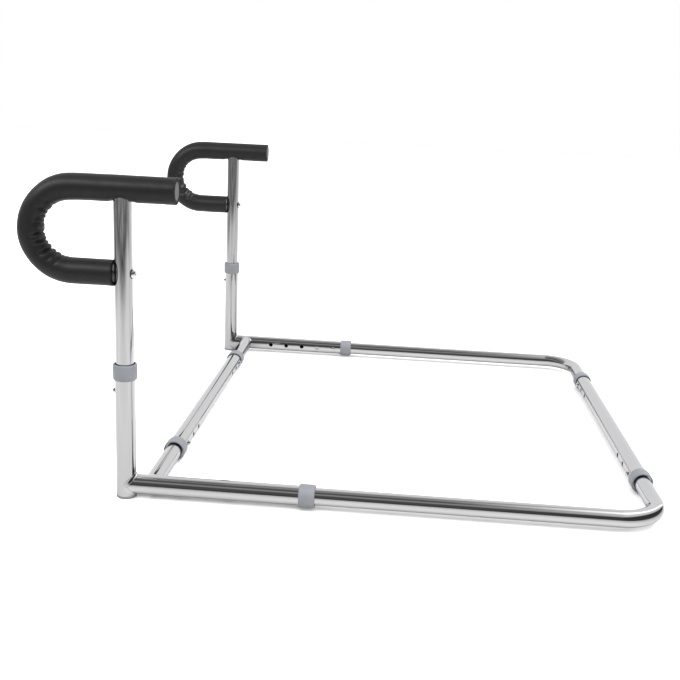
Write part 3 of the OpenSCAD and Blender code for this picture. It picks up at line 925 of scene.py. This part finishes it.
scene = bpy.context.scene
scene.view_settings.view_transform = "Standard"
world = bpy.data.worlds.new("studio")
world.use_nodes = True
scene.world = world
tree = Tree(world.node_tree)
aside, across, height = tree.split(tree.node("ShaderNodeTexCoord", output="Generated"))
rightward = (aside - RIGHT_FROM).do("MAXIMUM", 0)
over = height.do("ARCTAN2", RIGHT_LEAN * rightward - across) * (0.5 / math.pi) + 0.5
to_ahead, to_right = (tree.ramp(over, [((angle + 180) / 360, tone) for angle, tone in tones])
                      for tones in (AHEAD_TONES, RIGHT_TONES))
room = tree.mix(tree.between(aside, 0, 1, *RIGHT_BLEND), to_ahead, to_right)
scattered = tree.node("ShaderNodeLightPath", output="Is Diffuse Ray")
seen = tree.node("ShaderNodeLightPath", output="Is Camera Ray")
shown = tree.mix(seen, tree.mix(scattered, room, SCATTERED_GREY), WHITE)
tree.feed(world.node_tree.nodes["Background"].inputs["Color"], shown)
print("tones ahead:", len(AHEAD_TONES), "to the right:", len(RIGHT_TONES))

# %% [markdown]
# The stand is on a wide white floor. In the tubes the floor looks dimmer than it is: the colour that they
# mirror carries painted light, lit round the stand, and darker and cloudy beyond, as a floor is that ends
# in a dark room. By the rails that colour carries painted shade, so that the floor doesn't shine back from
# their undersides too brightly. Painted shade also darkens the floor at the right on the camera's side,
# and a soft spot on the camera's side of the left post.

# %% Floor
FLOOR_X, FLOOR_Y = (-8, 8), (-8, 9)
PAPER, PAPER_IN_RAIL_SHADE, MIRRORED_PAPER = 0.86, 0.48, 0.56
RAIL_GAP = (0.06, 0.3)
LIT_Y, LIT_X, LEFT_LIGHT = (-2.25, -1.15), (-2.2, -1.25), 0.22
NEAR_RIGHT_X, NEAR_RIGHT_Y, NEAR_RIGHT_SHADE = (1.3, 2.3), (-0.6, 0.2), 0.65
BEYOND_Y = (-3.0, -2.4)
CLOUD_SIZE, FAR_CLOUD_SIZE, CLOUD_EDGES = 0.3, 0.8, (0.35, 0.65)
NEAR_GREYS, FAR_GREYS = (0.065, 0.27), (0.1, 0.56)
SPOT_X, SPOT_Y, SPOT_SQUARED, SPOT_SHADE = -0.35, -1.0, (0.04, 0.4), 0.12

floor_mesh = bpy.data.meshes.new("floor")
floor_mesh.from_pydata([(x, y, 0) for y in FLOOR_Y for x in FLOOR_X], [], [(0, 1, 3, 2)])
floor_finish, tree, shader, place = new_finish("sweep", Roughness=0.15, Specular_IOR_Level=1)
floor_x, floor_y, _ = tree.split(place)
# Painted light and painted shade in the mirrored floor's colour: lit round the stand, less at the left,
# shaded at the right on the camera's side, with clouds of painted dimness beyond.
near_right = tree.between(floor_x, 0, 1, *NEAR_RIGHT_X) * tree.between(floor_y, 1, 0, *NEAR_RIGHT_Y)
lit = (tree.between(floor_y, 0, 1, *LIT_Y) * tree.between(floor_x, LEFT_LIGHT, 1, *LIT_X)
       * (1 - NEAR_RIGHT_SHADE * near_right))
near_cloud = tree.between(tree.noise(place, CLOUD_SIZE, detail=2), *NEAR_GREYS, *CLOUD_EDGES)
far_cloud = tree.between(tree.noise(place, FAR_CLOUD_SIZE, detail=1), *FAR_GREYS, *CLOUD_EDGES)
dim = near_cloud + tree.between(floor_y, 1, 0, *BEYOND_Y) * (far_cloud - near_cloud)
# Painted shade: the mirrored paper is darker within a few tens of centimetres of each rail.
from_rail = (floor_y.do("ABSOLUTE") - SIDE_Y["right"]).do("ABSOLUTE")
rail_shaded_paper = tree.between(from_rail, PAPER_IN_RAIL_SHADE, MIRRORED_PAPER, *RAIL_GAP)
spot_x, spot_y = floor_x - SPOT_X, floor_y - SPOT_Y
shade = 1 - SPOT_SHADE * tree.between(spot_x * spot_x + spot_y * spot_y, 1, 0, *SPOT_SQUARED)
mirrored = tree.node("ShaderNodeLightPath", output="Is Glossy Ray")
# Glossy rays see the floor's colour with this painted light and shade in it; other rays see plain paper.
paper = PAPER - mirrored * (PAPER - rail_shaded_paper * shade * (dim + lit * (1 - dim)))
tree.feed(shader.inputs["Base Color"], paper)
floor_mesh.materials.append(floor_finish)
floor = bpy.data.objects.new("floor", floor_mesh)
scene.collection.objects.link(floor)
print("floor", FLOOR_X, "by", FLOOR_Y, "metres")

# %% [markdown]
# Two wide lamps at the picture's left and right, the right one stronger, light the stand softly, and the
# tubes don't mirror them. The black foam needs more: a long strip, high at the left, draws the highlight
# along the grips, and a panel for each grip fills it from the right. These three light only the foam.

# %% Lamps
KEYS = {"right_key": (1.0, 6.8), "left_key": (-1.0, 5.3)}
KEY_Y, KEY_Z, KEY_SPREAD = -0.45, 1.2, math.radians(80)
LONG_LAMP_PLACE, LONG_LAMP_TARGET, LONG_LAMP_WATTS = (-2.4, -2.0, 2.5), (-1.0, 0.4, 0.3), 100
LONG_LAMP_LENGTH, LONG_LAMP_WIDTH = 3.0, 0.35
PANEL_PLACE, PANEL_TARGET, PANEL_SIZE = (1.2, -0.1, 1.4), (-0.4, 0, 0.4), 0.7
PANEL_WATTS = {"left": 24, "right": 60}


def lamp(name, kind, place, target, watts, **shape):
    data = bpy.data.lights.new(name, kind)
    data.energy = watts
    for setting, value in shape.items():
        setattr(data, setting, value)
    made = bpy.data.objects.new(name, data)
    made.location = place
    made.rotation_euler = (Vector(target) - Vector(place)).to_track_quat("-Z", "Y").to_euler()
    scene.collection.objects.link(made)
    return made


def light_only(light, pieces):
    """Let a lamp light these pieces and nothing else."""
    receivers = bpy.data.collections.new(f"lit_by_{light.name}")
    for piece in pieces:
        receivers.objects.link(piece)
    light.light_linking.receiver_collection = receivers


for name, (side_x, strength) in KEYS.items():
    key = lamp(name, "SUN", (side_x, KEY_Y, KEY_Z), (0, 0, 0), strength, angle=KEY_SPREAD)
    key.visible_glossy = False
long_lamp = lamp("strip", "AREA", LONG_LAMP_PLACE, LONG_LAMP_TARGET, LONG_LAMP_WATTS,
                 shape="RECTANGLE", size=LONG_LAMP_LENGTH, size_y=LONG_LAMP_WIDTH)
light_only(long_lamp, grips.values())
for side, watts in PANEL_WATTS.items():
    panel = lamp(f"{side}_panel", "AREA", PANEL_PLACE, PANEL_TARGET, watts, shape="SQUARE", size=PANEL_SIZE)
    light_only(panel, [grips[side]])
print("lamps:", [light.name for light in bpy.data.lights])
